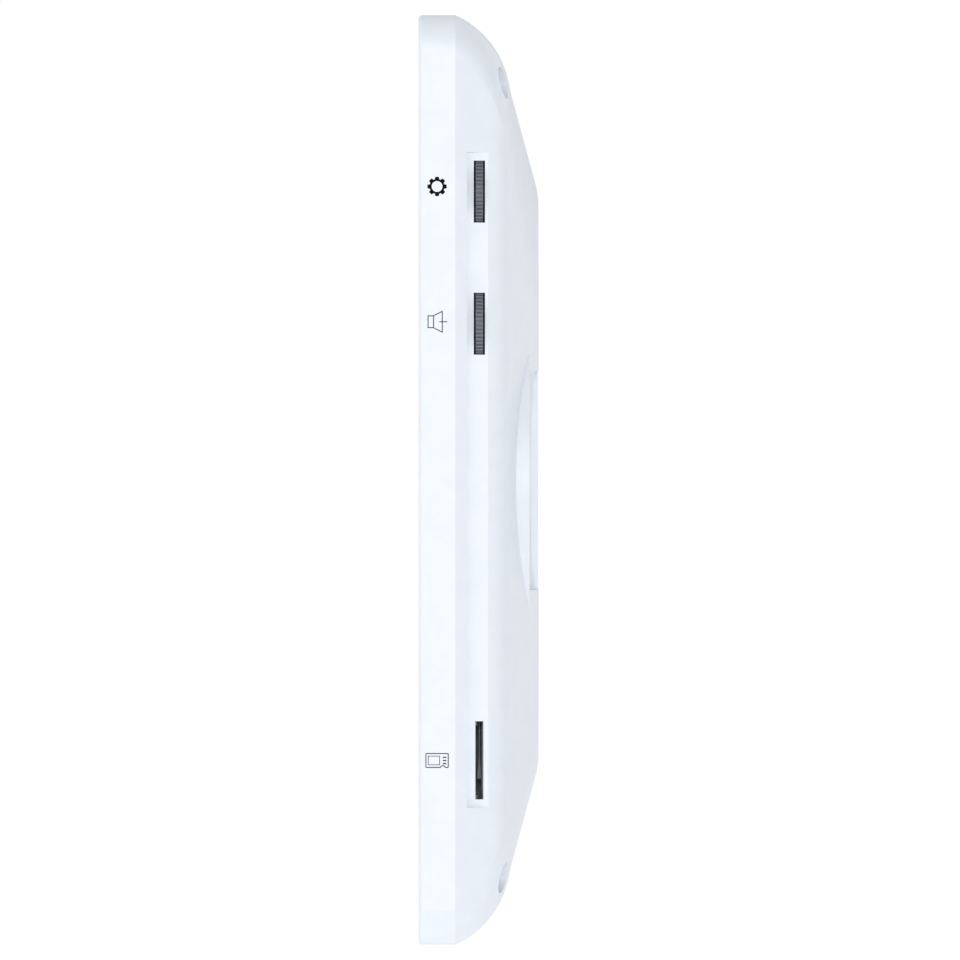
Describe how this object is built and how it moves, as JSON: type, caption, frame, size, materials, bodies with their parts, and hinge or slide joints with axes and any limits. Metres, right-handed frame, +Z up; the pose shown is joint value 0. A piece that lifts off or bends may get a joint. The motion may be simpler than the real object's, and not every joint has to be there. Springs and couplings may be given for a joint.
{
  "type": "video doorbell indoor monitor",
  "caption": "Slim wall-hung video door monitor: glass front, pillow-shaped rear cover, side thumbwheels and card slot, hung on a hooked steel bracket.",
  "frame": {"origin": "centre of the wall bracket's screw pattern, on the wall plane", "axes": "+X towards the side with the thumbwheels, +Y into the wall, +Z up; the screen faces -Y"},
  "size_m": [0.22, 0.0194, 0.15],
  "materials": {
    "white_shell": "fine satin texture",
    "front_glass": "black-backed glass",
    "screen": "dark screen",
    "steel": "zinc plated",
    "label": "paper label",
    "tray": "white moulded",
    "flex": "polyimide film",
    "foam": "closed-cell foam",
    "board": "solder mask",
    "chip": "epoxy",
    "ferrite": "ferrite",
    "capacitor": "sleeved can",
    "socket": "nylon",
    "pin": "plated",
    "wheel": "ribbed dark plastic",
    "dark_plastic": "moulded",
    "led": "clear epoxy",
    "cone": "film cone",
    "magnet": "sintered"
  },
  "bodies": {
    "bracket": {"wall_bracket": "steel"},
    "monitor": {"front_frame": "white_shell", "front_window": "front_glass", "rear_cover": "white_shell", "rear_label": "label", "case_screws": "steel", "lcd_panel": "screen", "lcd_bezel": "steel", "lcd_backlight": "tray", "lcd_flex": "flex", "lcd_pads": "foam", "touch_key_board": "board", "key_leds": "led", "main_board": "board", "processor": "chip", "memory_chips": "chip", "shield_can": "steel", "power_coils": "ferrite", "capacitors": "capacitor", "clock_cell": "steel", "clock_cell_holder": "dark_plastic", "board_screws": "steel", "socket_pins": "pin", "door_socket_1": "socket", "door_socket_2": "socket", "power_socket": "socket", "side_board": "board", "settings_encoder": "dark_plastic", "volume_control": "dark_plastic", "card_socket_base": "dark_plastic", "card_socket_shell": "steel", "card_latch_spring": "steel", "board_ribbon": "flex", "ribbon_connectors": "socket", "speaker_gasket": "foam", "speaker_frame": "steel", "speaker_magnet": "magnet", "speaker_cone": "cone", "microphone": "steel", "microphone_boot": "foam"},
    "settings_knob": {"settings_wheel": "wheel"},
    "volume_knob": {"volume_wheel": "wheel"}
  },
  "joints": [
    {"name": "unit_lift", "type": "slide", "parent": "bracket", "child": "monitor", "axis": [0, 0, 1], "range_m": [0, 0.007]},
    {"name": "settings_spin", "type": "hinge", "parent": "monitor", "child": "settings_knob", "pos_m": [0.10165, -0.0096, 0.0465], "axis": [0, 1, 0], "continuous": true},
    {"name": "volume_turn", "type": "hinge", "parent": "monitor", "child": "volume_knob", "pos_m": [0.10165, -0.0096, 0.0252], "axis": [0, 1, 0], "range_deg": [-135, 135]}
  ]
}
